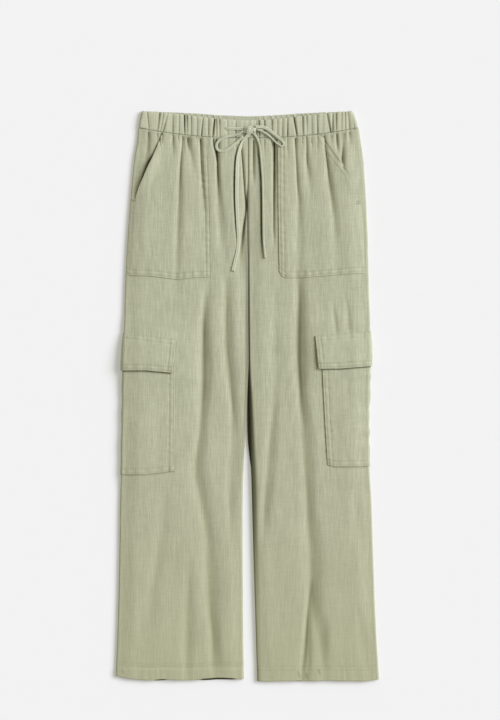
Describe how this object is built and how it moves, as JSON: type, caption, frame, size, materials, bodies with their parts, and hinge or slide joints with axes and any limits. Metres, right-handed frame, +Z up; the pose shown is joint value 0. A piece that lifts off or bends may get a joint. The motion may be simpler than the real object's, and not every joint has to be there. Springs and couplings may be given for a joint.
{
  "type": "flat-laid pull-on cargo trousers",
  "caption": "Wide straight pull-on cargo trousers laid flat, with a gathered waistband, tied drawstring, slanted patch pockets and side cargo pockets with flaps.",
  "frame": {"origin": "the middle of the trousers' bounding box, on the surface that they lie on", "axes": "+Y from the hems to the waist along the legs, +X towards the wearer's left leg, +Z up from the surface, out of the trousers' front"},
  "size_m": [0.4716, 1.027, 0.0192],
  "materials": {
    "cloth": "matte slubby linen blend, sage green",
    "waistband_cloth": "matte slubby linen blend gathered on elastic, sage green",
    "cord": "matte flat self-fabric cord, sage green"
  },
  "bodies": {
    "root": {"front_panel_right": "cloth", "back_panel_right": "cloth", "patch_pocket_right": "cloth", "cargo_pocket_right": "cloth", "cargo_flap_right": "cloth", "front_panel_left": "cloth", "back_panel_left": "cloth", "patch_pocket_left": "cloth", "cargo_pocket_left": "cloth", "cargo_flap_left": "cloth", "waistband_front": "waistband_cloth", "waistband_back": "waistband_cloth", "drawstring_knot": "cord", "drawstring_tail_right": "cord", "drawstring_tail_left": "cord", "drawstring_loop_right": "cord", "drawstring_loop_left": "cord", "drawstring_lead_right": "cord", "drawstring_lead_left": "cord"}
  },
  "joints": []
}
